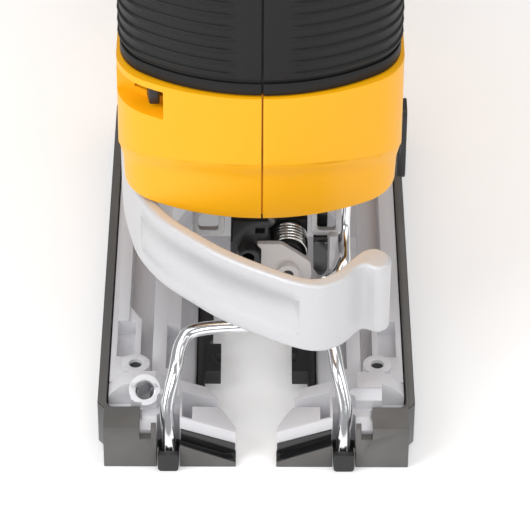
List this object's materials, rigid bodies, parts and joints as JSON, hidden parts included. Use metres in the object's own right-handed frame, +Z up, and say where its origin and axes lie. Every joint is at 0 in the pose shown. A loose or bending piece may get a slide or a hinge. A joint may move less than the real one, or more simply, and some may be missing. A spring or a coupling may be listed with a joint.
{
  "type": "cordless jigsaw",
  "caption": "Cordless top-handle jigsaw with a tilting sole, wire blade guard, swing-out blade-change lever, trigger handle and slide-off rear battery.",
  "frame": {"origin": "centre of the sole's underside, on the line about which the sole tilts", "axes": "+Z up out of the work, +Y towards the battery (the saw cuts towards -Y), +X towards the user's left"},
  "size_m": [0.076, 0.2536, 0.1918],
  "materials": {
    "yellow_plastic": "satin moulded plastic",
    "black_grip": "soft matte overmould",
    "dark_plastic": "fine texture",
    "trigger_plastic": "smooth",
    "battery_plastic": "fine texture",
    "sole_cover": "worn glide surface",
    "cast_aluminium": "bead blasted casting",
    "steel": "ground",
    "dark_steel": "blackened",
    "chrome": "bright plated wire",
    "copper": "varnished windings",
    "cell_wrap": "shrink sleeve"
  },
  "bodies": {
    "housing": {"housing_left": "yellow_plastic", "housing_right": "yellow_plastic", "head_cover_left": "black_grip", "head_cover_right": "black_grip", "handle_grip_left": "black_grip", "handle_grip_right": "black_grip", "housing_screw_1": "dark_steel", "housing_screw_2": "dark_steel", "housing_screw_3": "dark_steel", "housing_screw_4": "dark_steel", "housing_screw_5": "dark_steel", "gear_case": "cast_aluminium", "gear_axle": "steel", "lower_bushing": "steel", "upper_bushing": "steel", "bracket_left": "steel", "bracket_right": "steel", "guide_rod": "chrome", "blade_stop": "dark_plastic", "motor_can": "dark_steel", "front_bearing": "steel", "rear_bearing": "steel", "fork_pivot_pin": "steel", "lever_pivot_pin": "steel", "bevel_bolt": "dark_steel", "switch_body": "dark_plastic", "controller_module": "dark_plastic", "terminal_block": "dark_plastic"},
    "plunger": {"plunger": "steel", "clamp_body": "dark_steel", "clamp_spring": "steel"},
    "clamp_cam": {"clamp_cam": "steel"},
    "rotor": {"rotor_shaft": "steel", "armature": "copper", "cooling_fan": "dark_plastic", "pinion": "dark_steel"},
    "drive_gear": {"drive_gear": "steel"},
    "roller_fork": {"roller_fork": "steel", "roller_pin": "steel"},
    "guide_roller": {"guide_roller": "dark_steel"},
    "orbit_selector": {"orbit_selector": "dark_plastic"},
    "blade_lever": {"blade_lever": "cast_aluminium"},
    "shoe": {"sole_cover": "sole_cover", "shoe_casting": "cast_aluminium", "slot_liner_left": "dark_plastic", "slot_liner_right": "dark_plastic", "wire_guard": "chrome", "wire_pad_left": "dark_plastic", "wire_pad_right": "dark_plastic"},
    "trigger": {"trigger": "trigger_plastic"},
    "lock_button": {"lock_button": "dark_plastic"},
    "speed_dial": {"speed_dial": "dark_plastic"},
    "blower_slider": {"blower_slider": "dark_plastic"},
    "battery": {"battery_lower": "battery_plastic", "battery_upper": "battery_plastic", "battery_cell_1": "cell_wrap", "battery_cell_2": "cell_wrap", "battery_cell_3": "cell_wrap"},
    "release_button_left": {"release_button_left": "dark_plastic"},
    "release_button_right": {"release_button_right": "dark_plastic"}
  },
  "joints": [
    {"name": "blade_stroke", "type": "slide", "parent": "housing", "child": "plunger", "axis": [0, 0, 1], "range_m": [0, 0.02]},
    {"name": "clamp_cam_turn", "type": "hinge", "parent": "plunger", "child": "clamp_cam", "pos_m": [0.0071, -0.035, 0.0344], "axis": [0, 1, 0], "range_deg": [0, 9]},
    {"name": "rotor_spin", "type": "hinge", "parent": "housing", "child": "rotor", "pos_m": [0, 0.03, 0.08], "axis": [0, 1, 0], "continuous": true},
    {"name": "drive_gear_spin", "type": "hinge", "parent": "housing", "child": "drive_gear", "pos_m": [0, -0.011, 0.10256], "axis": [0, 1, 0], "continuous": true},
    {"name": "roller_fork_swing", "type": "hinge", "parent": "housing", "child": "roller_fork", "pos_m": [0, 0.002, 0.038], "axis": [1, 0, 0], "range_deg": [-4, 0]},
    {"name": "guide_roller_spin", "type": "hinge", "parent": "roller_fork", "child": "guide_roller", "pos_m": [0, -0.015, 0.009], "axis": [1, 0, 0], "continuous": true},
    {"name": "orbit_selector_turn", "type": "hinge", "parent": "housing", "child": "orbit_selector", "pos_m": [0.033, -0.002, 0.051], "axis": [1, 0, 0], "range_deg": [0, 90]},
    {"name": "blade_lever_swing", "type": "hinge", "parent": "housing", "child": "blade_lever", "pos_m": [-0.0275, 0.003, 0.043], "axis": [0, 0, 1], "range_deg": [-60, 0]},
    {"name": "shoe_bevel", "type": "hinge", "parent": "housing", "child": "shoe", "pos_m": [0, 0.036, 0], "axis": [0, 1, 0], "range_deg": [-45, 45]},
    {"name": "trigger_pull", "type": "slide", "parent": "housing", "child": "trigger", "axis": [0, 0, 1], "range_m": [0, 0.005], "stiffness_N_per_m": 700, "springref_m": -0.004},
    {"name": "lock_button_push", "type": "slide", "parent": "housing", "child": "lock_button", "axis": [1, 0, 0], "range_m": [-0.003, 0.003]},
    {"name": "speed_dial_turn", "type": "hinge", "parent": "housing", "child": "speed_dial", "pos_m": [0, 0.0897, 0.1682], "axis": [1, 0, 0], "range_deg": [-120, 120]},
    {"name": "blower_slide", "type": "slide", "parent": "housing", "child": "blower_slider", "axis": [-0.8621, 0.5067, 0], "range_m": [0, 0.003]},
    {"name": "battery_slide", "type": "slide", "parent": "housing", "child": "battery", "axis": [0, 1, 0], "range_m": [0, 0.06]},
    {"name": "release_left_press", "type": "slide", "parent": "battery", "child": "release_button_left", "axis": [-1, 0, 0], "range_m": [0, 0.002], "stiffness_N_per_m": 900, "springref_m": -0.002},
    {"name": "release_right_press", "type": "slide", "parent": "battery", "child": "release_button_right", "axis": [1, 0, 0], "range_m": [0, 0.002], "stiffness_N_per_m": 900, "springref_m": -0.002}
  ],
  "couplings": [
    {"joint": "drive_gear_spin", "follows": "rotor_spin", "ratio": -0.2},
    {"joint": "roller_fork_swing", "follows": "orbit_selector_turn", "ratio": -0.044444},
    {"joint": "clamp_cam_turn", "follows": "blade_lever_swing", "ratio": -0.15}
  ]
}
